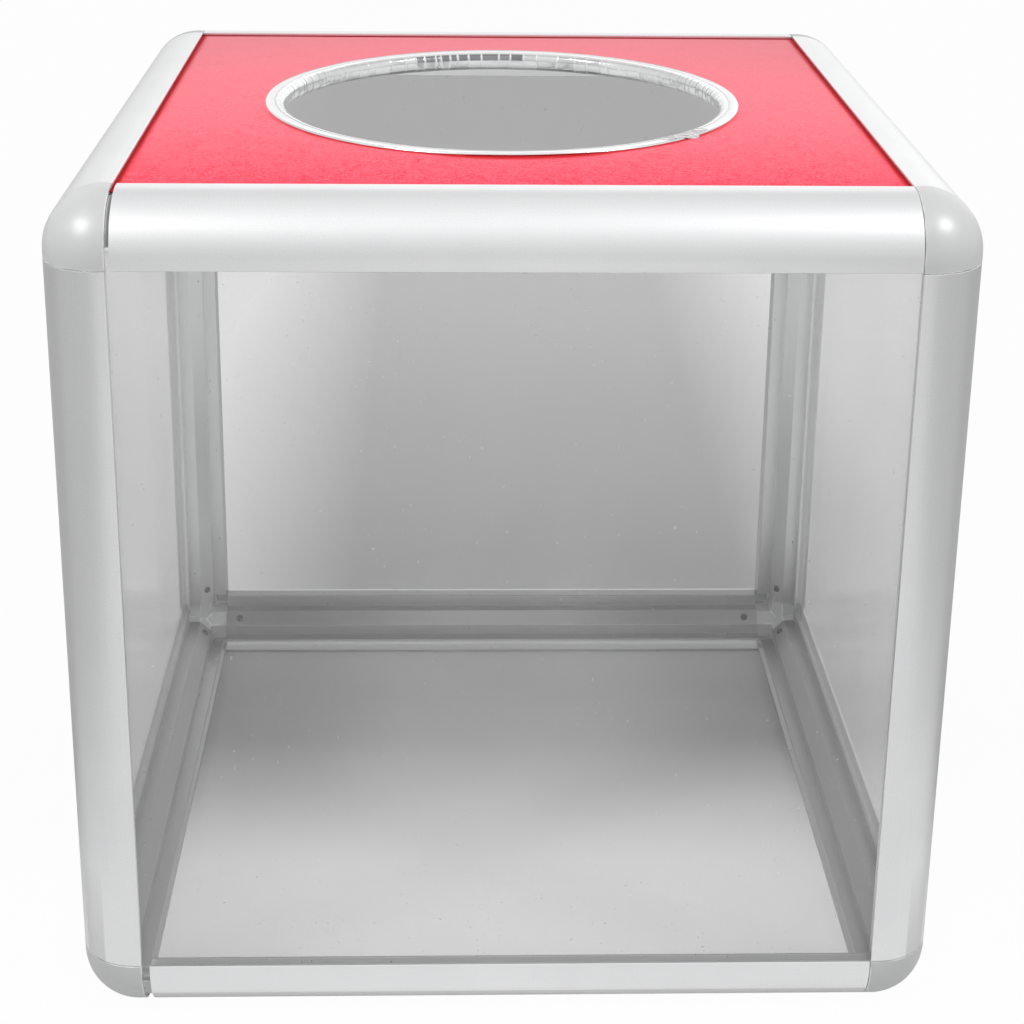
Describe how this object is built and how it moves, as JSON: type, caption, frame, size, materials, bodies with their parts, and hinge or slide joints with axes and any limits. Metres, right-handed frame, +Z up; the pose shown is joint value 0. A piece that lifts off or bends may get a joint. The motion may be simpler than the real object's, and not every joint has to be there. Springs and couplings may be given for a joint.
{
  "type": "raffle box",
  "caption": "Clear cubic raffle box with an aluminium edge frame, rounded plastic corners and a red felt top that has a trimmed round hand hole.",
  "frame": {"origin": "on the surface that the box stands on, under the middle of the box", "axes": "+Z up, +X to the right as seen from the front, +Y from the front face to the back face"},
  "size_m": [0.3, 0.298, 0.298],
  "materials": {
    "rail_aluminium": "satin silver anodised extrusion with fine lines along its length",
    "corner_plastic": "fine satin moulded plastic, silver grey",
    "screw_steel": "small dark steel screws",
    "clear_acrylic": "clear polished sheet",
    "board": "plain stiff board",
    "red_felt": "thin bright red felt, glued down",
    "silver_trim": "bright silver edge trim, crimped where it bends round the hole",
    "clear_tape": "clear sticky tape"
  },
  "bodies": {
    "root": {"post_front_left": "rail_aluminium", "post_front_right": "rail_aluminium", "post_back_left": "rail_aluminium", "post_back_right": "rail_aluminium", "bottom_rail_left": "rail_aluminium", "bottom_rail_right": "rail_aluminium", "bottom_rail_front": "rail_aluminium", "bottom_rail_back": "rail_aluminium", "top_rail_left": "rail_aluminium", "top_rail_right": "rail_aluminium", "top_rail_front": "rail_aluminium", "top_rail_back": "rail_aluminium", "corner_bottom_front_left": "corner_plastic", "corner_bottom_front_right": "corner_plastic", "corner_bottom_back_left": "corner_plastic", "corner_bottom_back_right": "corner_plastic", "corner_top_front_left": "corner_plastic", "corner_top_front_right": "corner_plastic", "corner_top_back_left": "corner_plastic", "corner_top_back_right": "corner_plastic", "rail_screws": "screw_steel", "front_panel": "clear_acrylic", "back_panel": "clear_acrylic", "left_panel": "clear_acrylic", "right_panel": "clear_acrylic", "floor_panel": "clear_acrylic", "top_board": "board", "red_felt": "red_felt", "hole_trim": "silver_trim", "trim_tape": "clear_tape"}
  },
  "joints": []
}
